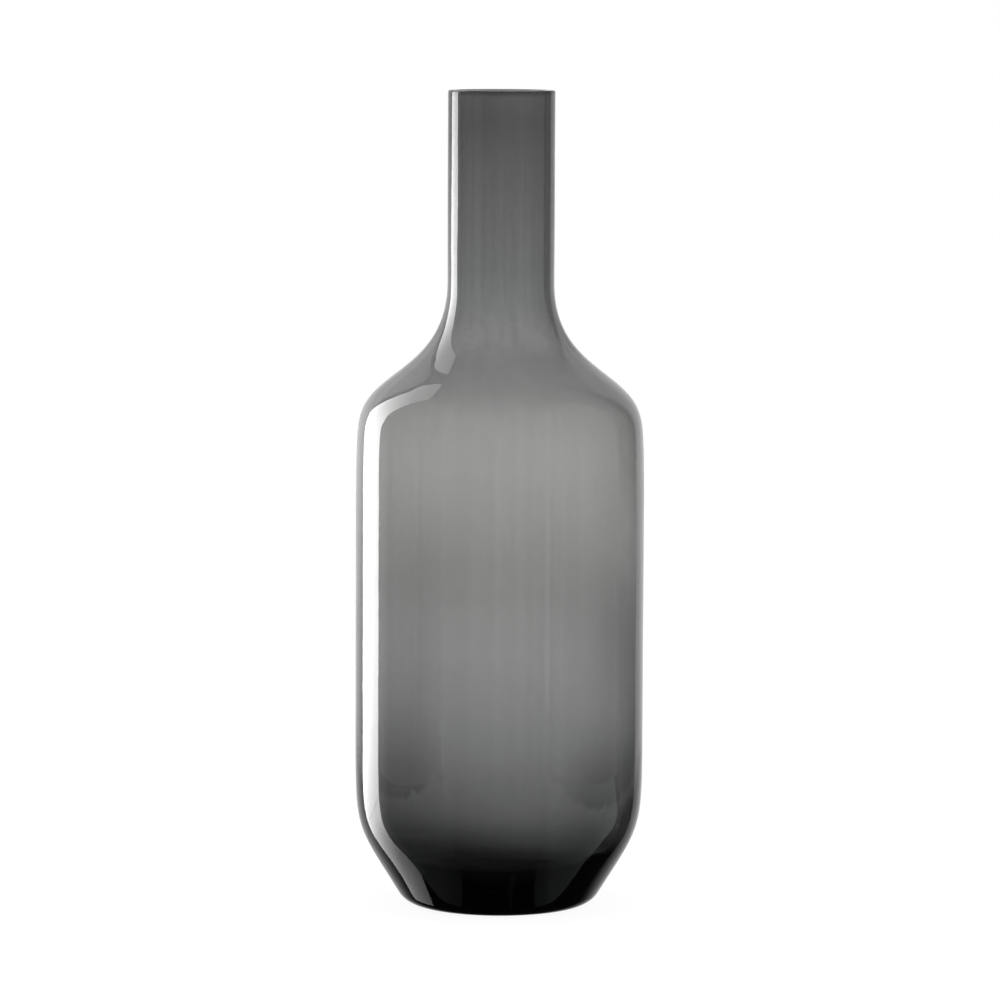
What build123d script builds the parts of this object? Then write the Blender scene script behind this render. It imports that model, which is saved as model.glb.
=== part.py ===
"""Bottle vase of blown smoked glass.

A straight neck flares into a round shoulder, a straight belly and a drawn-in heel on a thick base.
The vessel is one turned section. It is divided at its changes of form into the zones that a glass
blower names, and each zone is a closed solid that meets the next one on a flat ring.

Millimetres and degrees. +Z is up along the axis, and the origin is the middle of the underside.
"""
import os
from math import cos, radians, sin, sqrt, tan

from build123d import *

# Heights that stack up from the table; the straight neck takes what is left of the vase's height
vase_height = 390.0
taper_height = 16.0
heel_span = 66.5
belly_span = 112.0
turn_span = 41.8
flare_span = 62.2
lip_depth = 6.0

# Outside radii; the shoulder's break and the bearing ring are drawn in from the belly
neck_radius = 25.5
belly_radius = 69.0
break_draw = 2.4
ring_draw = 30.9
heel_round = 12.0

# Lean of the outside from the axis, at the break and on the taper above the base
break_angle = 17.3
taper_angle = 31.9

# Glass thickness, which falls where the bubble was blown widest
neck_wall = 4.4
break_wall = 2.9
belly_wall = 2.5
floor_thickness = 11.5

# Rim edges, and the push-up that leaves a bearing ring under the base
rim_round = 1.0
ring_width = 6.8
push_up_height = 2.5

# How far above the heel the inside wall starts to curve in to the bowl of the base
bowl_rise = 3.5

# Curve handles, as shares of the height or width that each curve spans
flare_neck_share = 0.639
flare_break_share = 0.347
flare_neck_inside_share = 0.675
flare_break_inside_share = 0.300
shoulder_break_share = 0.103
shoulder_belly_share = 0.825
heel_belly_share = 0.641
heel_taper_share = 0.409
bowl_wall_share = 0.820
bowl_floor_share = 1.418

# Where one zone of the glass ends and the next begins, as shares of the span that the edge lies in
heel_bottom_share = 0.0902
belly_bottom_share = 0.5414
shoulder_bottom_share = 0.6579
collar_bottom_share = 0.3489

# Heights and radii that follow
heel_height = taper_height + heel_span
shoulder_height = heel_height + belly_span
break_height = shoulder_height + turn_span
flare_height = break_height + flare_span
bowl_height = heel_height + bowl_rise
break_radius = belly_radius - break_draw
ring_radius = belly_radius - ring_draw
push_up_radius = ring_radius - ring_width


def point(radius, height):
    """A place in the section: distance from the axis and height above the table."""
    return Vector(radius, height)


def along_break(start, distance):
    """A place on the slope of the shoulder's break, distance up the slope from start."""
    lean = radians(break_angle)
    return start + Vector(-sin(lean), cos(lean)) * distance


def shoulder_curves(top, bend, bottom, neck_share, slope_share):
    """The shoulder from the belly up to the neck, as two curves that meet at the break."""
    flare_rise = top.Y - bend.Y
    turn_rise = bend.Y - bottom.Y
    lower = Bezier(
        bottom,
        bottom + Vector(0, turn_rise * shoulder_belly_share),
        along_break(bend, -turn_rise * shoulder_break_share),
        bend,
    )
    upper = Bezier(
        bend,
        along_break(bend, flare_rise * slope_share),
        top - Vector(0, flare_rise * neck_share),
        top,
    )
    return [lower, upper]


def underside():
    """The push-up, the bearing ring and the rounded heel edge, from the axis outwards."""
    dome_radius = (push_up_radius**2 + push_up_height**2) / (2 * push_up_height)
    half_way = push_up_radius / 2
    half_way_height = sqrt(dome_radius**2 - half_way**2) - (dome_radius - push_up_height)
    dome = ThreePointArc(
        point(0, push_up_height), point(half_way, half_way_height), point(push_up_radius, 0)
    )
    ring = Line(point(push_up_radius, 0), point(ring_radius, 0))
    heel_edge = JernArc(ring @ 1, Vector(1, 0), heel_round, 90 - taper_angle)
    return [dome, ring, heel_edge]


def outer_wall(start):
    """The outside from the heel edge up to the rim."""
    lean = radians(taper_angle)
    taper_radius = start.X + (taper_height - start.Y) * tan(lean)
    taper_top = point(taper_radius, taper_height)
    heel_top = point(belly_radius, heel_height)
    belly_top = point(belly_radius, shoulder_height)
    neck_foot = point(neck_radius, flare_height)
    bend = point(break_radius, break_height)
    taper = Line(start, taper_top)
    heel = Bezier(
        taper_top,
        taper_top + Vector(sin(lean), cos(lean)) * (heel_span * heel_taper_share),
        heel_top - Vector(0, heel_span * heel_belly_share),
        heel_top,
    )
    belly = Line(heel_top, belly_top)
    shoulder = shoulder_curves(neck_foot, bend, belly_top, flare_neck_share, flare_break_share)
    neck = Line(neck_foot, point(neck_radius, vase_height - rim_round))
    return [taper, heel, belly, *shoulder, neck]


def rim(outside, bore):
    """The rim: a flat cut ring with a small polished round on each edge."""
    outer_edge = JernArc(point(outside, vase_height - rim_round), Vector(0, 1), rim_round, 90)
    flat = Line(outer_edge @ 1, point(bore + rim_round, vase_height))
    inner_edge = JernArc(flat @ 1, Vector(-1, 0), rim_round, 90)
    return [outer_edge, flat, inner_edge]


def inner_wall(bore):
    """The inside from the rim down the bore, the shoulder and the belly to the middle of the bowl."""
    lean = radians(break_angle)
    belly_bore = belly_radius - belly_wall
    neck_foot = point(bore, flare_height)
    bend = point(break_radius - break_wall * cos(lean), break_height - break_wall * sin(lean))
    belly_top = point(belly_bore, shoulder_height)
    bowl_top = point(belly_bore, bowl_height)
    bowl_span = bowl_height - floor_thickness
    bowl_middle = point(0, floor_thickness)
    neck = Line(point(bore, vase_height - rim_round), neck_foot)
    shoulder = shoulder_curves(
        neck_foot, bend, belly_top, flare_neck_inside_share, flare_break_inside_share
    )
    belly = Line(belly_top, bowl_top)
    bowl = Bezier(
        bowl_top,
        bowl_top - Vector(0, bowl_span * bowl_wall_share),
        bowl_middle + Vector(ring_radius * bowl_floor_share, 0),
        bowl_middle,
    )
    return [neck, *shoulder, belly, bowl]


def vessel_section():
    """Half of the vessel's cross-section, with the height along Y and the axis at X = 0."""
    bore = neck_radius - neck_wall
    foot = underside()
    outside = outer_wall(foot[-1] @ 1)
    inside = inner_wall(bore)
    axis_edge = Line(point(0, floor_thickness), point(0, push_up_height))
    return make_face([*foot, *outside, *rim(neck_radius, bore), *inside, axis_edge])


def zone(section, bottom, top):
    """The glass between two heights, as a solid turned about the axis."""
    band = Pos(0, (bottom + top) / 2) * Rectangle(2 * belly_radius, top - bottom)
    return revolve(Plane.XZ * (section & band), Axis.Z)


heel_bottom = taper_height + heel_span * heel_bottom_share
belly_bottom = taper_height + heel_span * belly_bottom_share
shoulder_bottom = shoulder_height + turn_span * shoulder_bottom_share
collar_bottom = break_height + flare_span * collar_bottom_share
lip_bottom = vase_height - lip_depth
zone_edges = {
    "base": (0, heel_bottom),
    "heel": (heel_bottom, belly_bottom),
    "belly": (belly_bottom, shoulder_bottom),
    "shoulder": (shoulder_bottom, collar_bottom),
    "collar": (collar_bottom, flare_height),
    "neck": (flare_height, lip_bottom),
    "lip": (lip_bottom, vase_height),
}

os.makedirs("parts", exist_ok=True)
section = vessel_section()
for name, (bottom, top) in zone_edges.items():
    solid = zone(section, bottom, top)
    solid.label = name
    export_step(solid, f"parts/{name}.step")
    print(f"{name}: {solid.volume / 1000:.1f} cm3, {top - bottom:.1f} mm high")
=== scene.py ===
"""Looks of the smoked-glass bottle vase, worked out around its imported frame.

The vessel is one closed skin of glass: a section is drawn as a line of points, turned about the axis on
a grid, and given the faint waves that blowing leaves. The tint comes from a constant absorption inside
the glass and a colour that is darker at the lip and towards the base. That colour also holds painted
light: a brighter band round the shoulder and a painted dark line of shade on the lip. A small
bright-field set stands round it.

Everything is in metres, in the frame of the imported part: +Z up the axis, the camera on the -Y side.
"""
import logging
import math
from dataclasses import dataclass, replace
from enum import Enum
from typing import Any, Union

import bpy
import numpy as np
from mathutils import Matrix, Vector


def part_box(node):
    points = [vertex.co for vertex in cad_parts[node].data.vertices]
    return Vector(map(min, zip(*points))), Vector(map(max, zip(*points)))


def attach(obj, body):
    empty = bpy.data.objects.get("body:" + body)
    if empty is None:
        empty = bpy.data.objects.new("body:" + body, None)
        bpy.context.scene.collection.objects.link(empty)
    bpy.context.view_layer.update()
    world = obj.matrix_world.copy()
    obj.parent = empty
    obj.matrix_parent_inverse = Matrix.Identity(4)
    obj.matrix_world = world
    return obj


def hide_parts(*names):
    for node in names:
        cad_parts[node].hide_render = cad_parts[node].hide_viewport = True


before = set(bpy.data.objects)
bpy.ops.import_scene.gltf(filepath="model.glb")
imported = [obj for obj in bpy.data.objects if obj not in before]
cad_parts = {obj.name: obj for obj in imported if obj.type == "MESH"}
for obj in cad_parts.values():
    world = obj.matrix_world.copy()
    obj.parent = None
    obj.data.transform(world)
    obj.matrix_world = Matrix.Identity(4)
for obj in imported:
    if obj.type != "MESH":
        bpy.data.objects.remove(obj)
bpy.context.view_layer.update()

LOG = logging.getLogger("bottle_vase")

Colour = tuple[float, float, float]
Place = tuple[float, float]
Stops = tuple[tuple[float, float], ...]
Number = Union[float, "Value"]


class Zone(Enum):
    """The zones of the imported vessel, from the lip down."""

    LIP = "lip"
    NECK = "neck"
    COLLAR = "collar"
    SHOULDER = "shoulder"
    BELLY = "belly"
    HEEL = "heel"
    BASE = "base"

    @property
    def bottom(self) -> float:
        """Height of the zone's lower edge."""
        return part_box(self.value)[0].z

    @property
    def top(self) -> float:
        """Height of the zone's upper edge."""
        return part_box(self.value)[1].z

    @property
    def radius(self) -> float:
        """Widest outside radius of the zone."""
        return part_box(self.value)[1].x


class Value:
    """A number that changes over a surface: an output socket whose arithmetic adds Math nodes."""

    def __init__(self, graph: "Graph", socket: bpy.types.NodeSocket) -> None:
        """Wrap a socket of a graph."""
        self.graph = graph
        self.socket = socket

    def _math(self, operation: str, first: Number, second: Number) -> "Value":
        """Add one Math node that works on two numbers."""
        return self.graph.node("ShaderNodeMath", {"operation": operation}, {0: first, 1: second})

    def __add__(self, other: Number) -> "Value":
        """Sum of two values."""
        return self._math("ADD", self, other)

    def __radd__(self, other: Number) -> "Value":
        """Sum, with the number on the left."""
        return self._math("ADD", other, self)

    def __sub__(self, other: Number) -> "Value":
        """Difference of two values."""
        return self._math("SUBTRACT", self, other)

    def __rsub__(self, other: Number) -> "Value":
        """Difference, with the number on the left."""
        return self._math("SUBTRACT", other, self)

    def __mul__(self, other: Number) -> "Value":
        """Product of two values."""
        return self._math("MULTIPLY", self, other)

    def __rmul__(self, other: Number) -> "Value":
        """Product, with the number on the left."""
        return self._math("MULTIPLY", other, self)

    def __truediv__(self, other: Number) -> "Value":
        """Quotient of two values."""
        return self._math("DIVIDE", self, other)

    def power(self, exponent: Number) -> "Value":
        """This value raised to an exponent."""
        return self._math("POWER", self, exponent)

    def smooth_between(self, low: float, high: float) -> "Value":
        """Rise from 0 at low to 1 at high along a smooth step."""
        settings = {"interpolation_type": "SMOOTHSTEP"}
        sockets = {"Value": self, "From Min": low, "From Max": high}
        return self.graph.node("ShaderNodeMapRange", settings, sockets)


class Graph:
    """A node tree that is filled one node at a time."""

    def __init__(self, tree: bpy.types.NodeTree) -> None:
        """Empty a tree and keep it."""
        self.tree = tree
        self.tree.nodes.clear()

    def node(
        self,
        kind: str,
        settings: dict[str, Any] | None = None,
        sockets: dict[int | str, Any] | None = None,
        output: int | str = 0,
    ) -> Value:
        """Add a node.

        Args:
            kind: Blender's name for the node's type.
            settings: the node's own properties; "stops" holds a ramp's (place, colour) pairs.
            sockets: input name or number to a plain value, or to a Value to link.
            output: which output is handed back.

        Returns:
            The chosen output, as a Value.
        """
        made = self.tree.nodes.new(kind)
        for name, setting in (settings or {}).items():
            if name == "stops":
                self._set_stops(made.color_ramp, setting)
            else:
                setattr(made, name, setting)
        for key, value in (sockets or {}).items():
            if isinstance(value, Value):
                self.tree.links.new(value.socket, made.inputs[key])
            else:
                made.inputs[key].default_value = value
        has_output = len(made.outputs) > 0
        return Value(self, made.outputs[output] if has_output else None)

    @staticmethod
    def _set_stops(ramp: bpy.types.ColorRamp, stops: list[tuple[float, Colour]]) -> None:
        """Give a colour ramp its stops, in order."""
        while len(ramp.elements) < len(stops):
            ramp.elements.new(1.0)
        for element, (place, colour) in zip(ramp.elements, stops):
            element.position = place
            element.color = (*colour, 1.0)

    def coordinate(self, axis: str) -> Value:
        """The object coordinate X, Y or Z."""
        place = self.node("ShaderNodeTexCoord", output="Object")
        return self.node("ShaderNodeSeparateXYZ", sockets={0: place}, output=axis)

    def grey_ramp(self, stops: Stops, place: Value) -> Value:
        """A grey that follows (place, brightness) stops, straight from each to the next."""
        greys = [(share, (tone,) * 3) for share, tone in stops]
        return self.node("ShaderNodeValToRGB", {"stops": greys}, {"Fac": place})

    def noise(self, place: Value, scale: float, detail: float, grit: float = 0.5) -> Value:
        """Cloudy noise round 0.5, with detail finer layers, each of which is grit times the one before."""
        sockets = {"Vector": place, "Scale": scale, "Detail": detail, "Roughness": grit}
        return self.node("ShaderNodeTexNoise", {}, sockets, "Fac")

    def times(self, first: Value, second: Value) -> Value:
        """Product of two colours, part by part."""
        return self.node("ShaderNodeVectorMath", {"operation": "MULTIPLY"}, {0: first, 1: second})

    def mirrored(self) -> Value:
        """1 for light that a shiny surface has mirrored on its way, 0 for light that came straight."""
        mirrors = self.node("ShaderNodeLightPath", output="Glossy Depth")
        return self.node("ShaderNodeMath", {"operation": "MINIMUM"}, {0: mirrors, 1: 1.0})

    def trapped(self, wall_light: float, hollow_light: float) -> Value:
        """Brightness of what light meets after it was mirrored inside the glass, by the faces it passed.

        Args:
            wall_light: after two faces, which is inside one wall.
            hollow_light: after any other number of faces, so across the hollow or inside the base.

        Returns:
            The brightness, which is 0 for light that has passed no glass.
        """
        passes = self.node("ShaderNodeLightPath", output="Transmission Depth")
        has_passed = self.node("ShaderNodeMath", {"operation": "MINIMUM"}, {0: passes, 1: 1.0})
        one_wall = self.node("ShaderNodeMath", {"operation": "COMPARE"}, {0: passes, 1: 2.0, 2: 0.5})
        return has_passed * hollow_light + one_wall * (wall_light - hollow_light)

    def mix_shader(self, share: Number, first: Value, second: Value) -> Value:
        """Blend two shaders, with a share of the second one."""
        return self.node("ShaderNodeMixShader", sockets={0: share, 1: first, 2: second})


def new_material(name: str) -> tuple[bpy.types.Material, Graph]:
    """Make an empty node material.

    Args:
        name: the material's name.

    Returns:
        The material and the graph that fills it.
    """
    material = bpy.data.materials.new(name)
    material.use_nodes = True
    return material, Graph(material.node_tree)


@dataclass(frozen=True)
class SmokedGlass:
    """Through-coloured grey glass, polished by the flame.

    The tint has two parts: an absorption that is the same everywhere, so that thick glass is dark, and a
    surface colour that is deeper at the lip and towards the base. The surface colour also holds painted
    light: its brighter band round the shoulder and its dip and rise on the belly stand in for uneven light
    behind the glass, and its last stop paints a dark line of shade along the lip's top edge.
    """

    refraction: float = 1.5
    absorption: float = 120.0
    absorption_tint: Colour = (0.298, 0.304, 0.301)
    # Painted light: the band that peaks round the shoulder (0.5 to 0.7 of the height) and the dip and rise
    # on the belly stand in for uneven light behind the glass; the last stop paints shade as a dark line on
    # the lip's top edge.
    tones_and_painted_light: Stops = (
        (0.00, 0.08), (0.02, 0.19), (0.03, 0.33), (0.045, 0.46), (0.06, 0.495), (0.12, 0.53), (0.20, 0.57),
        (0.28, 0.64), (0.33, 0.66), (0.40, 0.63), (0.50, 0.72), (0.55, 0.75), (0.66, 0.72), (0.69, 0.74),
        (0.78, 0.60), (0.92, 0.49), (0.96, 0.45), (0.993, 0.48), (0.998, 0.22),
    )
    hues: tuple[tuple[float, Colour], ...] = (
        (0.00, (0.960, 1.000, 0.985)),
        (0.13, (1.000, 1.000, 1.000)),
        (0.18, (0.986, 1.000, 0.993)),
        (0.26, (0.998, 1.000, 0.996)),
        (0.53, (1.000, 0.998, 0.985)),
        (0.70, (0.998, 1.000, 0.996)),
        (0.76, (0.985, 1.000, 0.992)),
        (0.83, (1.000, 1.000, 1.000)),
    )
    streak_depth: float = 0.06
    neck_streak_depth: float = 0.22
    neck_streak_levels: tuple[float, float] = (0.62, 0.78)
    streaks_round: float = 230.0
    streaks_up: float = 1.2
    streak_detail: float = 4.0
    streak_grit: float = 0.6
    smudge_scale: float = 18.0
    smudge_detail: float = 3.0
    smudge_levels: tuple[float, float] = (0.45, 0.75)
    clean_roughness: float = 0.002
    smudge_roughness: float = 0.012

    def material(self, height: float) -> bpy.types.Material:
        """Build the glass.

        Args:
            height: the vessel's height, over which the tint runs.

        Returns:
            The material.
        """
        material, graph = new_material("smoked_glass")
        place = graph.node("ShaderNodeTexCoord", output="Object")
        level = graph.coordinate("Z") / height
        # Grey by height: darker at the lip and towards the base, with the ramp's painted light and painted
        # lip shade in it.
        tone = graph.grey_ramp(self.tones_and_painted_light, level)
        hue = graph.node("ShaderNodeValToRGB", {"stops": list(self.hues)}, {"Fac": level})
        tone = graph.times(tone, hue)
        streak_space = graph.node(
            "ShaderNodeMapping",
            {"vector_type": "POINT"},
            {"Vector": place, "Scale": (self.streaks_round, self.streaks_round, self.streaks_up)},
        )
        streaks = graph.noise(streak_space, 1.0, self.streak_detail, self.streak_grit)
        neck_share = level.smooth_between(*self.neck_streak_levels)
        reach = self.streak_depth + neck_share * (self.neck_streak_depth - self.streak_depth)
        depth = 1.0 + (streaks - 0.5) * 2.0 * reach
        tint = graph.node("ShaderNodeVectorMath", {"operation": "SCALE"}, {0: tone, "Scale": depth})
        smudges = graph.noise(place, self.smudge_scale, self.smudge_detail)
        wiped = smudges.smooth_between(*self.smudge_levels)
        roughness = self.clean_roughness + wiped * (self.smudge_roughness - self.clean_roughness)
        surface = graph.node(
            "ShaderNodeBsdfPrincipled",
            {},
            {
                "Base Color": tint,
                "Roughness": roughness,
                "IOR": self.refraction,
                "Transmission Weight": 1.0,
            },
        )
        inside = graph.node(
            "ShaderNodeVolumeAbsorption",
            {},
            {"Color": (*self.absorption_tint, 1.0), "Density": self.absorption},
        )
        graph.node("ShaderNodeOutputMaterial", {}, {"Surface": surface, "Volume": inside})
        return material


@dataclass(frozen=True)
class BlownWaves:
    """The faint unevenness of blown glass, as a sum of slow waves round and up the wall."""

    seed: int
    count: int = 14
    most_turns: int = 11
    shortest: float = 0.030
    longest: float = 0.110

    def height(self, angle: np.ndarray, level: np.ndarray) -> np.ndarray:
        """Sum of waves cos(turns * angle + level * 2 pi / length + phase), scaled to about -1 to 1.

        Args:
            angle: angles round the axis, in radians, any shape.
            level: heights or arc lengths in metres, of a shape that fits angle's.

        Returns:
            The waves' sum on the grid.
        """
        draw = np.random.default_rng(self.seed)
        shape = (self.count, 1, 1)
        turns = draw.integers(-self.most_turns, self.most_turns + 1, shape)
        length = draw.uniform(self.shortest, self.longest, shape)
        phase = draw.uniform(0.0, 2.0 * math.pi, shape)
        waves = np.cos(turns * angle + level * (2.0 * math.pi / length) + phase)
        return waves.sum(axis=0) / math.sqrt(self.count)


def cubic(start: Any, leave: Any, arrive: Any, end: Any, count: int) -> np.ndarray:
    """Points of a cubic curve: the four given points weighted by the Bernstein polynomials of degree 3.

    Args:
        start: first point, as radius and height.
        leave: handle of the first point.
        arrive: handle of the last point.
        end: last point.
        count: number of points, without the first one.

    Returns:
        An array of count points.
    """
    t = np.linspace(0.0, 1.0, count + 1)[1:, None]
    weights = np.hstack([(1 - t) ** 3, 3 * t * (1 - t) ** 2, 3 * t**2 * (1 - t), t**3])
    return weights @ np.array([start, leave, arrive, end], float)


def straight(start: Any, end: Any, count: int) -> np.ndarray:
    """Evenly spaced points from start to end, without start itself."""
    t = np.linspace(0.0, 1.0, count + 1)[1:, None]
    return (1 - t) * np.array(start, float) + t * np.array(end, float)


def arc(centre: Any, radius: float, first: float, last: float, count: int) -> np.ndarray:
    """Points of a circular arc between two angles, in degrees, without the first one."""
    turn = np.radians(np.linspace(first, last, count + 1)[1:, None])
    return np.array(centre, float) + radius * np.hstack([np.cos(turn), np.sin(turn)])


@dataclass
class VesselSection:
    """The vessel's half section, as lines of (radius, height) points.

    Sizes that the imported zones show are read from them. The rest repeats the part's own driving sizes.
    """

    break_height: float = 0.2363
    break_radius: float = 0.0666
    break_lean: float = math.radians(17.3)
    shoulder_height: float = 0.1945
    heel_height: float = 0.0825
    taper_height: float = 0.0160
    taper_lean: float = math.radians(31.9)
    ring_radius: float = 0.0381
    heel_round: float = 0.0120
    neck_wall: float = 0.0044
    break_wall: float = 0.0029
    belly_wall: float = 0.0025
    floor_thickness: float = 0.0115
    bowl_height: float = 0.0860
    rim_round: float = 0.0010
    push_up_radius: float = 0.0313
    push_up_height: float = 0.0025
    flare_neck_share: float = 0.639
    flare_break_share: float = 0.347
    flare_neck_inside_share: float = 0.675
    flare_break_inside_share: float = 0.300
    shoulder_break_share: float = 0.103
    shoulder_belly_share: float = 0.825
    heel_belly_share: float = 0.641
    heel_taper_share: float = 0.409
    bowl_wall_share: float = 0.820
    bowl_floor_share: float = 1.418
    cap_points: int = 13
    ring_points: int = 4
    heel_edge_points: int = 16
    taper_points: int = 8
    heel_points: int = 44
    belly_points: int = 34
    turn_points: int = 36
    flare_points: int = 48
    neck_points: int = 28
    rim_edge_points: int = 8
    rim_flat_points: int = 3
    belly_inside_points: int = 30
    bowl_points: int = 44

    def __post_init__(self) -> None:
        """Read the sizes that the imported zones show."""
        self.height = Zone.LIP.top
        self.flare_height = Zone.NECK.bottom
        self.neck_radius = Zone.NECK.radius
        self.belly_radius = Zone.BELLY.radius
        self.bore = self.neck_radius - self.neck_wall
        self.belly_bore = self.belly_radius - self.belly_wall

    def _up_break(self, start: np.ndarray, distance: float) -> np.ndarray:
        """A point on the slope of the break, distance up from start."""
        return start + distance * np.array([-math.sin(self.break_lean), math.cos(self.break_lean)])

    def _shoulder(
        self, belly_top: np.ndarray, bend: np.ndarray, neck_foot: np.ndarray, shares: tuple[float, float]
    ) -> np.ndarray:
        """The shoulder from the belly up to the neck, as two cubic curves that meet at the break."""
        neck_share, slope_share = shares
        flare = neck_foot[1] - bend[1]
        turn = bend[1] - belly_top[1]
        lower = cubic(
            belly_top,
            belly_top + [0.0, turn * self.shoulder_belly_share],
            self._up_break(bend, -turn * self.shoulder_break_share),
            bend,
            self.turn_points,
        )
        upper = cubic(
            bend,
            self._up_break(bend, flare * slope_share),
            neck_foot - [0.0, flare * neck_share],
            neck_foot,
            self.flare_points,
        )
        return np.vstack([lower, upper])

    def underside(self) -> np.ndarray:
        """The push-up's spherical cap, the bearing ring and the rounded heel edge, from the axis out."""
        cap = (self.push_up_radius**2 + self.push_up_height**2) / (2 * self.push_up_height)
        radius = np.linspace(0.0, self.push_up_radius, self.cap_points)
        height = np.sqrt(cap**2 - radius**2) - (cap - self.push_up_height)
        ring = straight((self.push_up_radius, 0.0), (self.ring_radius, 0.0), self.ring_points)
        heel_last = -math.degrees(self.taper_lean)
        heel_centre = (self.ring_radius, self.heel_round)
        heel = arc(heel_centre, self.heel_round, -90.0, heel_last, self.heel_edge_points)
        return np.vstack([np.column_stack([radius, height]), ring, heel])

    def outside(self, start: np.ndarray) -> np.ndarray:
        """The outside from the heel edge up to the rim: taper, heel bend, belly, shoulder and neck."""
        slope = np.array([math.sin(self.taper_lean), math.cos(self.taper_lean)])
        taper_top = start + slope * (self.taper_height - start[1]) / slope[1]
        heel_top = np.array([self.belly_radius, self.heel_height])
        heel = self.heel_height - self.taper_height
        belly_top = np.array([self.belly_radius, self.shoulder_height])
        bend = np.array([self.break_radius, self.break_height])
        neck_foot = np.array([self.neck_radius, self.flare_height])
        heel_bend = cubic(
            taper_top,
            taper_top + slope * (heel * self.heel_taper_share),
            heel_top - [0.0, heel * self.heel_belly_share],
            heel_top,
            self.heel_points,
        )
        shares = (self.flare_neck_share, self.flare_break_share)
        return np.vstack([
            straight(start, taper_top, self.taper_points),
            heel_bend,
            straight(heel_top, belly_top, self.belly_points),
            self._shoulder(belly_top, bend, neck_foot, shares),
            straight(neck_foot, (self.neck_radius, self.height - self.rim_round), self.neck_points),
        ])

    def rim(self) -> np.ndarray:
        """The cut rim: a flat ring between two small polished rounds."""
        level = self.height - self.rim_round
        outer_centre = (self.neck_radius - self.rim_round, level)
        outer = arc(outer_centre, self.rim_round, 0.0, 90.0, self.rim_edge_points)
        inner_centre = (self.bore + self.rim_round, level)
        flat = straight(outer[-1], (inner_centre[0], self.height), self.rim_flat_points)
        inner = arc(inner_centre, self.rim_round, 90.0, 180.0, self.rim_edge_points)
        return np.vstack([outer, flat, inner])

    def inside(self) -> np.ndarray:
        """The inside from the rim down the bore, shoulder and belly to the middle of the bowl."""
        lean = np.array([math.cos(self.break_lean), math.sin(self.break_lean)])
        neck_foot = np.array([self.bore, self.flare_height])
        bend = np.array([self.break_radius, self.break_height]) - self.break_wall * lean
        belly_top = np.array([self.belly_bore, self.shoulder_height])
        bowl_top = np.array([self.belly_bore, self.bowl_height])
        bowl_middle = np.array([0.0, self.floor_thickness])
        bowl = self.bowl_height - self.floor_thickness
        shares = (self.flare_neck_inside_share, self.flare_break_inside_share)
        shoulder = self._shoulder(belly_top, bend, neck_foot, shares)[::-1]
        return np.vstack([
            straight((self.bore, self.height - self.rim_round), neck_foot, self.neck_points),
            shoulder[1:],
            belly_top,
            straight(belly_top, bowl_top, self.belly_inside_points),
            cubic(
                bowl_top,
                bowl_top - [0.0, bowl * self.bowl_wall_share],
                bowl_middle + [self.ring_radius * self.bowl_floor_share, 0.0],
                bowl_middle,
                self.bowl_points,
            ),
        ])


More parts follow.
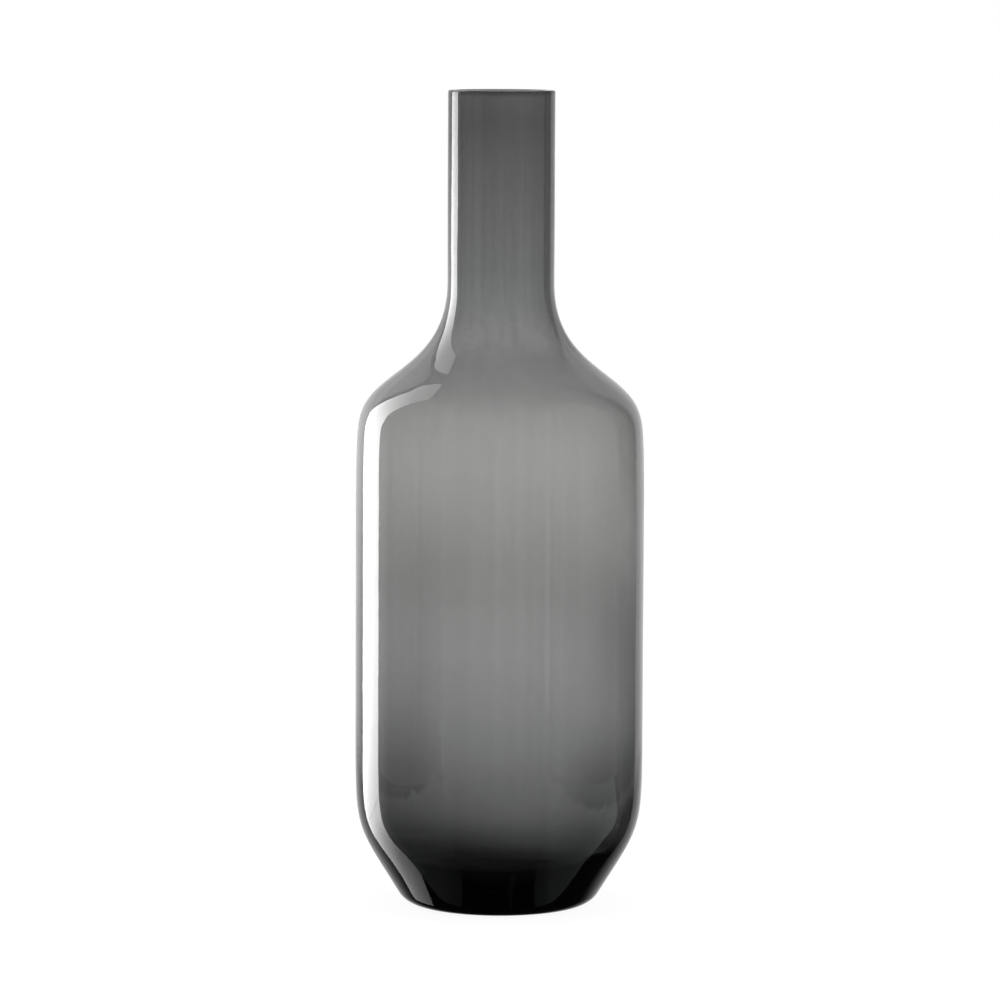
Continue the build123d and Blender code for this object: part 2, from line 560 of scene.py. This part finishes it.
@dataclass
class GlassVessel:
    """The vase itself: one closed skin of glass, turned from its section."""

    section: VesselSection
    finish: SmokedGlass
    spokes: int = 224
    outer_waves: BlownWaves = BlownWaves(seed=7)
    inner_waves: BlownWaves = BlownWaves(seed=19)
    heel_ripples: BlownWaves = BlownWaves(seed=5, count=20, most_turns=34, shortest=0.009, longest=0.022)
    ripple_depth: float = 0.000008
    ripple_width: float = 0.016
    quiet_wave: float = 0.000010
    shoulder_wave: float = 0.000050
    shoulder_wave_rise: float = 0.022
    shoulder_wave_width: float = 0.045
    heel_wave: float = 0.000045
    heel_wave_rise: float = 0.014
    heel_wave_width: float = 0.030
    still_end: float = 0.003
    end_fade: float = 0.012

    def _wave_depth(self, level: np.ndarray) -> np.ndarray:
        """How deep the waves are at each height: deepest on the shoulder and heel, none at rim and foot.

        Each hump is a bell, exp(-((level - middle) / width) squared), and both ends fade in over a few
        millimetres.
        """
        shoulder_middle = self.section.break_height + self.shoulder_wave_rise
        heel_middle = self.section.taper_height + self.heel_wave_rise
        shoulder = np.exp(-(((level - shoulder_middle) / self.shoulder_wave_width) ** 2))
        heel = np.exp(-(((level - heel_middle) / self.heel_wave_width) ** 2))
        foot_fade = np.clip((level - self.still_end) / self.end_fade, 0.0, 1.0)
        rim_fade = np.clip((self.section.height - self.still_end - level) / self.end_fade, 0.0, 1.0)
        depth = self.quiet_wave + self.shoulder_wave * shoulder + self.heel_wave * heel
        return depth * foot_fade * rim_fade

    def skin(self) -> tuple[np.ndarray, np.ndarray, np.ndarray]:
        """Turn the section about the axis.

        A point at (radius, height) of the section goes to (radius cos a, radius sin a, height) at each
        spoke's angle a, after the waves have moved its radius. The two ends of the section lie on the
        axis and become one point each.

        Returns:
            Vertices, four-cornered faces and three-cornered faces.
        """
        foot = self.section.underside()
        outside = self.section.outside(foot[-1])
        inside = self.section.inside()
        line = np.vstack([foot, outside, self.section.rim(), inside])
        first_inner = len(line) - len(inside)
        rings = line[1:-1]
        angle = np.linspace(0.0, 2.0 * math.pi, self.spokes, endpoint=False)[None, :]
        level = rings[:, 1][:, None]
        ripple_fade = np.exp(-(((level - self.section.taper_height) / self.ripple_width) ** 2))
        ripples = self.ripple_depth * ripple_fade * self.heel_ripples.height(angle, level)
        outer = self.outer_waves.height(angle, level)
        inner = self.inner_waves.height(angle, level)
        is_inner = (np.arange(1, len(line) - 1) >= first_inner)[:, None]
        waves = self._wave_depth(level) * np.where(is_inner, inner, outer)
        radius = rings[:, 0][:, None] + waves + np.where(is_inner, 0.0, ripples)
        grid = np.stack(
            [radius * np.cos(angle), radius * np.sin(angle), np.broadcast_to(level, radius.shape)], axis=-1
        )
        poles = np.array([[0.0, 0.0, line[0, 1]], [0.0, 0.0, line[-1, 1]]])
        vertices = np.vstack([grid.reshape(-1, 3), poles])
        return vertices, *self._faces(len(rings), len(vertices))

    def _faces(self, rings: int, points: int) -> tuple[np.ndarray, np.ndarray]:
        """Join neighbouring rings by quads and the end rings to the poles by triangles, facing outwards."""
        spoke = np.arange(self.spokes)
        beside = np.roll(spoke, -1)
        below = np.arange(rings - 1)[:, None] * self.spokes
        corners = [below + spoke, below + beside, below + self.spokes + beside, below + self.spokes + spoke]
        quads = np.stack(corners, axis=-1).reshape(-1, 4)
        last = (rings - 1) * self.spokes
        foot_pole = np.full(self.spokes, points - 2)
        bowl_pole = np.full(self.spokes, points - 1)
        foot = np.column_stack([foot_pole, beside, spoke])
        bowl = np.column_stack([bowl_pole, last + spoke, last + beside])
        return quads, np.vstack([foot, bowl])

    def build(self) -> bpy.types.Object:
        """Make the piece, dress it and let it stand for every zone of the frame."""
        vertices, quads, triangles = self.skin()
        piece = mesh_object("glass_vessel", vertices, quads.tolist() + triangles.tolist())
        piece.data.polygons.foreach_set("use_smooth", np.ones(len(piece.data.polygons), bool))
        piece.data.materials.append(self.finish.material(self.section.height))
        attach(piece, "root")
        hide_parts(*[zone.value for zone in Zone])
        return piece


def mesh_object(name: str, vertices: np.ndarray, faces: list[list[int]]) -> bpy.types.Object:
    """Make an object at the origin from points and faces.

    Args:
        name: name of the object and its mesh.
        vertices: array of points.
        faces: corner numbers of each face.

    Returns:
        The object, linked to the scene.
    """
    mesh = bpy.data.meshes.new(name)
    mesh.from_pydata(vertices.tolist(), [], faces)
    mesh.update()
    made = bpy.data.objects.new(name, mesh)
    bpy.context.scene.collection.objects.link(made)
    return made


def level_sheet(
    name: str, across: tuple[float, float], along: tuple[float, float], level: float
) -> bpy.types.Object:
    """Make a flat rectangle that lies level, between two values of X and two of Y."""
    (x0, x1), (y0, y1) = across, along
    corners = np.array([(x0, y0, level), (x1, y0, level), (x1, y1, level), (x0, y1, level)])
    return mesh_object(name, corners, [[0, 1, 2, 3]])


@dataclass(frozen=True)
class SoftShade:
    """One soft dip in the light of the ground behind the vase, as a bell round its middle."""

    across: float
    level: float
    width: float
    height: float
    depth: float

    def light_left(self, graph: Graph, across: Value, level: Value) -> Value:
        """Share of the light that is left: 1 - depth * exp(-(x / width) squared - (z / height) squared)."""
        aside = (across - self.across) / self.width
        above = (level - self.level) / self.height
        fall = -1.0 * (aside * aside + above * above)
        return 1.0 - graph.node("ShaderNodeMath", {"operation": "EXPONENT"}, {0: fall}) * self.depth


@dataclass(frozen=True)
class RaggedShade:
    """One faint shade with a ragged rim, as an ellipse whose rim a noise pushes in and out.

    It is deepest low down and far out: it fades upwards between the two levels of fade, and inwards
    between the two distances of reach. Its rim is soft between the two values of rim.
    """

    across: float
    level: float
    width: float
    height: float
    depth: float
    fade: tuple[float, float]
    reach: tuple[float, float]
    ragged: float = 0.55
    grain: float = 180.0
    detail: float = 3.0
    grit: float = 0.6
    rim: tuple[float, float] = (0.97, 1.03)

    def light_left(self, graph: Graph, across: Value, level: Value) -> Value:
        """Share of the light that is left: 1 - depth * inside * both fades.

        A place is inside where (x / width) squared + (z / height) squared + noise is under 1.
        """
        aside = (across - self.across) / self.width
        above = (level - self.level) / self.height
        place = graph.node("ShaderNodeCombineXYZ", {}, {0: across, 1: level})
        noise = graph.noise(place, self.grain, self.detail, self.grit)
        outwards = aside * aside + above * above + (noise - 0.5) * (2.0 * self.ragged)
        inside = 1.0 - outwards.smooth_between(*self.rim)
        from_axis = graph.node("ShaderNodeMath", {"operation": "ABSOLUTE"}, {0: across})
        dark = inside * (1.0 - level.smooth_between(*self.fade)) * from_axis.smooth_between(*self.reach)
        return 1.0 - dark * self.depth


@dataclass(frozen=True)
class SoftGround:
    """A white sheet close behind the vase, seen only through the glass, whose light is uneven.

    The same shades run on over the table below it, where the level counts backwards from the sheet.
    """

    behind: float = 0.076
    reach: float = 0.150
    top: float = 0.430
    shades: tuple[SoftShade | RaggedShade, ...] = (
        SoftShade(-0.062, -0.010, 0.045, 0.080, 0.36),
        SoftShade(-0.062, -0.026, 0.056, 0.038, 0.88),
        SoftShade(0.066, 0.010, 0.028, 0.070, 0.20),
        SoftShade(0.066, -0.024, 0.030, 0.034, 0.85),
        SoftShade(-0.040, 0.156, 0.020, 0.034, 0.10),
        SoftShade(-0.042, 0.090, 0.012, 0.060, 0.11),
        SoftShade(-0.058, 0.085, 0.020, 0.040, 0.09),
        SoftShade(0.062, 0.122, 0.016, 0.026, 0.28),
        SoftShade(0.036, 0.132, 0.013, 0.022, 0.06),
        SoftShade(0.062, 0.210, 0.014, 0.040, 0.10),
        SoftShade(-0.014, 0.385, 0.014, 0.022, 0.12),
        SoftShade(0.064, 0.088, 0.016, 0.034, 0.12),
        RaggedShade(-0.064, 0.061, 0.036, 0.033, 0.30, (0.045, 0.095), (0.014, 0.054)),
        RaggedShade(0.066, 0.058, 0.038, 0.037, 0.44, (0.040, 0.085), (0.023, 0.063)),
    )

    def light(self, graph: Graph, across: Value, level: Value) -> Value:
        """Product of what every shade leaves of the light."""
        left = self.shades[0].light_left(graph, across, level)
        for shade in self.shades[1:]:
            left = left * shade.light_left(graph, across, level)
        return left

    def build(self) -> bpy.types.Object:
        """Stand the sheet up and hide it from all but straight light that has passed the glass."""
        corners = [
            (-self.reach, self.behind, 0.0), (self.reach, self.behind, 0.0),
            (self.reach, self.behind, self.top), (-self.reach, self.behind, self.top),
        ]
        sheet = mesh_object("soft_ground", np.array(corners), [[0, 1, 2, 3]])
        material, graph = new_material("soft_ground")
        light = self.light(graph, graph.coordinate("X"), graph.coordinate("Z"))
        glow = graph.node("ShaderNodeEmission", {}, {"Strength": light})
        clear = graph.node("ShaderNodeBsdfTransparent")
        surface = graph.mix_shader(graph.mirrored(), glow, clear)
        graph.node("ShaderNodeOutputMaterial", {}, {"Surface": surface})
        sheet.data.materials.append(material)
        sheet.visible_camera = False
        sheet.visible_diffuse = False
        sheet.visible_glossy = False
        sheet.visible_shadow = False
        return sheet


@dataclass(frozen=True)
class PaleFloor:
    """A white table. Its own glow keeps it white, and the part that is lit keeps the vase's shadow.

    The light comes from behind, so hardly any gets in under the foot and just in front of it. Through the
    glass the glow fades out there.
    """

    glow: float = 0.93
    lit: float = 0.11
    wall_light: float = 0.45
    hollow_light: float = 0.15
    foot_shade: tuple[float, float] = (0.036, 0.050)
    shade_forward: float = 0.016
    trapped_shade: tuple[float, float] = (0.060, 0.200)

    def material(self, ground: SoftGround) -> bpy.types.Material:
        """Build the floor's material, dim to light that has been mirrored inside the glass.

        Args:
            ground: the sheet behind the vase, whose shades run on over the floor.

        Returns:
            The material.
        """
        material, graph = new_material("pale_floor")
        x, y = graph.coordinate("X"), graph.coordinate("Y")
        forward = y + self.shade_forward
        lit_share = (x * x + forward * forward).power(0.5).smooth_between(*self.foot_shade)
        through_glass = lit_share * ground.light(graph, x, y - ground.behind)
        is_seen = graph.node("ShaderNodeLightPath", output="Is Camera Ray")
        open_share = graph.node("ShaderNodeMath", {"operation": "MAXIMUM"}, {0: through_glass, 1: is_seen})
        glow = graph.node("ShaderNodeEmission", {}, {"Strength": open_share * self.glow})
        lit = graph.node("ShaderNodeBsdfDiffuse", {}, {"Color": (self.lit, self.lit, self.lit, 1.0)})
        pale = graph.node("ShaderNodeAddShader", {}, {0: glow, 1: lit})
        far_share = (x * x + y * y).power(0.5).smooth_between(*self.trapped_shade)
        trapped = graph.trapped(self.wall_light, self.hollow_light) * far_share
        dim = graph.node("ShaderNodeEmission", {}, {"Strength": trapped})
        surface = graph.mix_shader(graph.mirrored(), pale, dim)
        graph.node("ShaderNodeOutputMaterial", {}, {"Surface": surface})
        return material


@dataclass(frozen=True)
class LitCard:
    """An upright sheet that shines, seen only in reflections.

    Its brightness at a place is the one that glow_up gives for the height, in metres, times the one that
    glow_across gives for the share of the way from the first upright edge to the second. The first edge may
    be drawn in: first_inset gives the share of the width at each height.
    """

    name: str
    first: Place
    second: Place
    glow_up: Stops
    glow_across: Stops = ((0.0, 1.0), (1.0, 1.0))
    strength: float = 1.0
    is_clear: bool = False
    first_inset: Stops = ()

    def on_left(self, name: str, strength: float) -> "LitCard":
        """The card's twin on the left of the set, with a name and a strength of its own."""
        first, second = [(-x, y) for x, y in (self.first, self.second)]
        return replace(self, name=name, first=first, second=second, strength=strength)

    def build(self) -> bpy.types.Object:
        """Stand the card up between its two edges and light it."""
        bottom, top = self.glow_up[0][0], self.glow_up[-1][0]
        run = np.subtract(self.second, self.first)
        inset = self.first_inset or ((bottom, 0.0), (top, 0.0))
        corners = [(*self.second, bottom), (*self.second, top)]
        corners += [(*(self.first + share * run), height) for height, share in reversed(inset)]
        card = mesh_object(self.name, np.array(corners), [list(range(len(corners)))])
        card.data.materials.append(self._material(bottom, top))
        show_in_reflections(card)
        return card

    def _material(self, bottom: float, top: float) -> bpy.types.Material:
        """A glow that follows both lists of stops."""
        material, graph = new_material(self.name)
        level = (graph.coordinate("Z") - bottom) / (top - bottom)
        up_stops = [((height - bottom) / (top - bottom), tone) for height, tone in self.glow_up]
        run = np.subtract(self.second, self.first)
        run_x, run_y = run / (run @ run)
        along_x = (graph.coordinate("X") - self.first[0]) * run_x
        along_y = (graph.coordinate("Y") - self.first[1]) * run_y
        across = graph.grey_ramp(self.glow_across, along_x + along_y)
        tone = graph.times(graph.grey_ramp(up_stops, level), across)
        glow = graph.node("ShaderNodeEmission", {}, {"Color": tone, "Strength": self.strength})
        if self.is_clear:
            clear = graph.node("ShaderNodeBsdfTransparent")
            glow = graph.node("ShaderNodeAddShader", {}, {0: glow, 1: clear})
        graph.node("ShaderNodeOutputMaterial", {}, {"Surface": glow})
        return material


@dataclass(frozen=True)
class TableSheen:
    """A dimly lit patch of the table, seen only in reflections.

    Its brightness is the one that glow_round gives for the bearing from the axis, in degrees, times the one
    that glow_out gives for the distance from it. A bearing of 0 is straight to the side, and a place nearer
    to the camera has a bearing below 0.
    """

    name: str
    corners: tuple[Place, ...]
    glow_round: Stops
    glow_out: Stops = ((0.0, 1.0), (1.0, 1.0))
    tint: Colour = (0.88, 1.00, 0.94)
    level: float = -0.0003

    def on_left(self, name: str, glow_round: Stops) -> "TableSheen":
        """The patch's twin on the left of the vase, with a name and a glow of its own."""
        corners = tuple((-x, y) for x, y in self.corners)
        return replace(self, name=name, corners=corners, glow_round=glow_round)

    def build(self) -> bpy.types.Object:
        """Lay the patch on the table and light it."""
        points = np.array([(x, y, self.level) for x, y in self.corners])
        patch = mesh_object(self.name, points, [list(range(len(points)))])
        patch.data.materials.append(self._material())
        show_in_reflections(patch)
        return patch

    def _material(self) -> bpy.types.Material:
        """A glow that follows the bearing and the distance, on clear ground."""
        material, graph = new_material(self.name)
        first, last = self.glow_round[0][0], self.glow_round[-1][0]
        stops = [
            ((bearing - first) / (last - first), tuple(tone * part for part in self.tint))
            for bearing, tone in self.glow_round
        ]
        x, y = graph.coordinate("X"), graph.coordinate("Y")
        aside = graph.node("ShaderNodeMath", {"operation": "ABSOLUTE"}, {0: x})
        turn = graph.node("ShaderNodeMath", {"operation": "ARCTAN2"}, {0: y, 1: aside})
        share = (turn * math.degrees(1.0) - first) / (last - first)
        by_bearing = graph.node("ShaderNodeValToRGB", {"stops": stops}, {"Fac": share})
        distance = (x * x + y * y).power(0.5)
        tone = graph.times(by_bearing, graph.grey_ramp(self.glow_out, distance))
        glow = graph.node("ShaderNodeEmission", {}, {"Color": tone})
        clear = graph.node("ShaderNodeBsdfTransparent")
        surface = graph.node("ShaderNodeAddShader", {}, {0: glow, 1: clear})
        graph.node("ShaderNodeOutputMaterial", {}, {"Surface": surface})
        return material


def show_in_reflections(thing: bpy.types.Object) -> None:
    """Hide a thing from everything but mirrored rays."""
    thing.visible_camera = False
    thing.visible_diffuse = False
    thing.visible_transmission = False
    thing.visible_shadow = False


@dataclass
class Studio:
    """The bright-field set: white table and ground, a strip light, a panel behind and dim side walls.

    Weak soft cards fill in between them. The panel, the lift and the wall are written for the right side
    and have a twin on the left. So has the lit table.
    """

    floor_reach: float = 4.0
    floor_level: float = -0.0004
    finish: PaleFloor = PaleFloor()
    soft_ground: SoftGround = SoftGround()
    ground: float = 1.0
    dark_room: float = 0.012
    strip_up: Stops = (
        (-0.47, 0.075), (-0.30, 0.13), (-0.20, 0.25), (-0.14, 0.365), (-0.09, 0.52), (0.05, 0.94),
        (0.12, 1.00), (0.22, 0.97), (0.30, 0.89), (0.45, 0.555), (0.55, 0.375), (0.68, 0.235), (0.90, 0.147),
    )
    strip_light: LitCard = LitCard(
        "strip_light", (-0.299, 0.274), (-0.438, 0.124), strip_up,
        glow_across=((0.00, 0.92), (0.50, 0.96), (1.00, 1.00)),
        strength=9.2,
        first_inset=(
            (-0.47, 0.00), (0.33, 0.02), (0.42, 0.09), (0.60, 0.09), (0.64, 0.01), (0.68, 0.02),
            (0.90, 0.17),
        ),
    )
    strip_halo: LitCard = LitCard(
        "strip_halo", (-0.438, 0.124), (-0.400, 0.010), strip_up,
        glow_across=((0.00, 1.00), (0.35, 0.45), (0.70, 0.15), (1.00, 0.00)),
        strength=1.1,
        is_clear=True,
    )
    low_halo: LitCard = LitCard(
        "low_halo", (-0.245, 0.203), (-0.075, 0.150),
        glow_up=(
            (0.03, 0.00), (0.15, 0.45), (0.19, 0.72), (0.25, 0.95), (0.29, 0.95), (0.32, 0.60), (0.36, 0.00),
        ),
        glow_across=((0.00, 1.00), (1.00, 0.00)),
        is_clear=True,
    )
    high_halo: LitCard = LitCard(
        "high_halo", (-0.360, 0.380), (-0.150, 0.380),
        glow_up=(
            (0.385, 0.00), (0.40, 0.42), (0.44, 0.46), (0.58, 0.36), (0.66, 0.44), (0.74, 0.44),
            (0.82, 0.32), (0.95, 0.00),
        ),
        glow_across=((0.00, 1.00), (0.35, 0.95), (0.70, 0.60), (1.00, 0.15)),
        is_clear=True,
    )
    panel: LitCard = LitCard(
        "right_panel", (0.000, 0.172), (0.222, 0.172),
        glow_up=(
            (-0.20, 0.00), (-0.15, 0.11), (-0.085, 0.50), (0.00, 0.93), (0.04, 1.00), (0.22, 1.00),
            (0.34, 0.77), (0.41, 0.75), (0.45, 0.66), (0.48, 0.52), (0.55, 0.36), (0.62, 0.36), (0.70, 0.28),
        ),
        glow_across=((0.00, 1.00), (0.35, 1.00), (0.44, 0.86), (0.63, 0.67), (1.00, 0.38)),
        is_clear=True,
    )
    lift: LitCard = LitCard(
        "right_lift", (0.098, 0.166), (0.236, 0.166),
        glow_up=((0.06, 0.00), (0.12, 0.45), (0.17, 0.95), (0.42, 1.00), (0.47, 0.30), (0.52, 0.00)),
        glow_across=((0.00, 0.00), (0.40, 0.72), (0.66, 1.00), (1.00, 1.00)),
        strength=0.25,
        is_clear=True,
    )
    wall: LitCard = LitCard(
        "right_wall", (0.460, 0.110), (0.330, -0.385),
        glow_up=((0.00, 1.00), (0.30, 1.00), (0.37, 0.58), (0.50, 0.62), (0.60, 0.75), (0.90, 0.50)),
        glow_across=((0.00, 0.55), (0.06, 0.92), (0.65, 0.52), (1.00, 0.38)),
        strength=0.42,
    )
    left_wall_strength: float = 0.36
    fill: LitCard = LitCard(
        "right_fill", (0.460, 0.110), (0.235, 0.174),
        glow_up=((0.09, 0.00), (0.11, 0.12), (0.13, 0.34), (0.155, 0.38), (0.17, 0.20), (0.19, 0.00)),
        glow_across=((0.00, 1.00), (1.00, 0.80)),
        is_clear=True,
    )
    join: LitCard = LitCard(
        "right_join", (0.484, 0.101), (0.240, 0.178),
        glow_up=(
            (-0.04, 0.00), (-0.01, 0.22), (0.03, 0.25), (0.06, 0.15), (0.10, 0.15), (0.13, 0.08),
            (0.15, 0.00),
        ),
        glow_across=((0.00, 1.00), (0.32, 0.70), (0.55, 0.20), (0.73, 0.00)),
        is_clear=True,
    )
    line: LitCard = LitCard(
        "right_line", (0.277, -0.365), (0.262, -0.388),
        glow_up=((0.02, 0.00), (0.06, 0.26), (0.14, 0.28), (0.20, 0.00)),
        is_clear=True,
    )
    lit_table: TableSheen = TableSheen(
        "right_table",
        corners=(
            (0.020, -0.045), (0.023, -0.053), (0.028, -0.063), (0.290, -0.385), (0.470, -0.100),
            (0.470, 0.078), (0.255, 0.046), (0.160, 0.006), (0.114, -0.021), (0.068, -0.035),
            (0.032, -0.041),
        ),
        glow_round=(
            (-70.0, 0.050), (-60.0, 0.080), (-54.0, 0.135), (-40.0, 0.135), (-27.0, 0.200), (-20.0, 0.300),
            (-12.0, 0.480), (-2.0, 0.540), (40.0, 0.420),
        ),
    )
    left_table_glow: Stops = (
        (-70.0, 0.040), (-50.0, 0.085), (-27.0, 0.090), (-12.0, 0.120), (40.0, 0.150),
    )
    glint: TableSheen = TableSheen(
        "table_glint",
        corners=(
            (0.0062, -0.049), (0.0066, -0.057), (0.0084, -0.065), (0.0112, -0.067), (0.0140, -0.065),
            (0.0086, -0.056), (0.0076, -0.049),
        ),
        glow_round=((-90.0, 0.030), (-60.0, 0.030)),
    )
    front_table: TableSheen = TableSheen(
        "front_table",
        corners=((-0.026, -0.060), (-0.050, -0.090), (0.050, -0.090), (0.026, -0.060)),
        glow_round=((-90.0, 1.0), (0.0, 1.0)),
        glow_out=(
            (0.060, 0.000), (0.066, 0.022), (0.070, 0.016), (0.076, 0.055), (0.080, 0.090), (0.082, 0.070),
            (0.085, 0.000),
        ),
        level=-0.0002,
    )
    table_edge: tuple[float, float] = (0.079, 0.081)
    table_edge_reach: float = 0.45

    def build(self) -> list[bpy.types.Object]:
        """Make the table, the ground and the cards.

        Returns:
            The stage's objects.
        """
        reach = self.floor_reach
        floor = level_sheet("floor", (-reach, reach), (-reach, reach), self.floor_level)
        floor.data.materials.append(self.finish.material(self.soft_ground))
        floor.visible_glossy = False
        self._light_ground()
        cards = [card.build() for card in (*self._cards(), *self._sheens())]
        return [floor, self.soft_ground.build(), *cards, self._table_edge()]

    def _cards(self) -> list[LitCard]:
        """Every upright card, with the left twins of the panel, the lift and the wall."""
        twins = [
            self.panel.on_left("left_panel", self.panel.strength),
            self.lift.on_left("left_lift", self.lift.strength),
            self.wall.on_left("left_wall", self.left_wall_strength),
        ]
        lights = [self.strip_light, self.strip_halo, self.low_halo, self.high_halo]
        return [*lights, self.fill, self.join, self.line, *twins, self.panel, self.lift, self.wall]

    def _sheens(self) -> list[TableSheen]:
        """The lit table on both sides of the vase's own shade, and a thin glint and a dim patch in it."""
        left_table = self.lit_table.on_left("left_table", self.left_table_glow)
        return [left_table, self.lit_table, self.glint, self.front_table]

    def _table_edge(self) -> bpy.types.Object:
        """The thin dark joint at the back of the table, which the heel mirrors."""
        reach = self.table_edge_reach
        joint = level_sheet("table_joint", (-reach, reach), self.table_edge, 0.0)
        material, graph = new_material("dark_joint")
        black = graph.node("ShaderNodeEmission", {}, {"Strength": 0.0})
        graph.node("ShaderNodeOutputMaterial", {}, {"Surface": black})
        joint.data.materials.append(material)
        show_in_reflections(joint)
        return joint

    def _light_ground(self) -> None:
        """White all round for the eye and through the glass, and a dark room for what glass mirrors."""
        world = bpy.data.worlds.new("white_ground")
        world.use_nodes = True
        graph = Graph(world.node_tree)
        white = graph.node("ShaderNodeBackground", {}, {"Strength": self.ground, "Color": (1, 1, 1, 1)})
        dim = self.dark_room + graph.trapped(self.finish.wall_light, self.finish.hollow_light)
        room = graph.node("ShaderNodeBackground", {}, {"Strength": dim, "Color": (1, 1, 1, 1)})
        surface = graph.mix_shader(graph.mirrored(), white, room)
        graph.node("ShaderNodeOutputWorld", {}, {"Surface": surface})
        bpy.context.scene.world = world


@dataclass
class Viewpoint:
    """The camera, a little above the rim and far enough away to keep the sides nearly parallel."""

    distance: float = 2.430
    height: float = 0.4385
    look_down: float = math.radians(5.736)
    roll: float = math.radians(0.25)
    focal_widths: float = 5.105
    sensor: float = 36.0
    sees_to: float = 20.0

    def build(self) -> bpy.types.Object:
        """Make the camera and give it to the scene."""
        data = bpy.data.cameras.new("viewpoint")
        data.sensor_width = self.sensor
        data.lens = self.focal_widths * self.sensor
        data.clip_end = self.sees_to
        camera = bpy.data.objects.new("viewpoint", data)
        bpy.context.scene.collection.objects.link(camera)
        tilt = Matrix.Rotation(math.pi / 2 - self.look_down, 4, "X")
        lean = Matrix.Rotation(self.roll, 4, "Z")
        place = Matrix.Translation((0.0, -self.distance, self.height))
        camera.matrix_world = place @ tilt @ lean
        bpy.context.scene.camera = camera
        return camera


def main() -> None:
    """Build the vase, its set and the camera, and report each piece."""
    logging.basicConfig(level=logging.INFO, format="%(name)s: %(message)s")
    bpy.context.scene.view_settings.view_transform = "Standard"
    vessel = GlassVessel(VesselSection(), SmokedGlass()).build()
    LOG.info("%s has %d faces", vessel.name, len(vessel.data.polygons))
    for prop in Studio().build():
        LOG.info("%s stands on the set", prop.name)
    camera = Viewpoint().build()
    LOG.info("%s looks from %.2f m away", camera.name, camera.location.length)


if __name__ == "__main__":
    main()
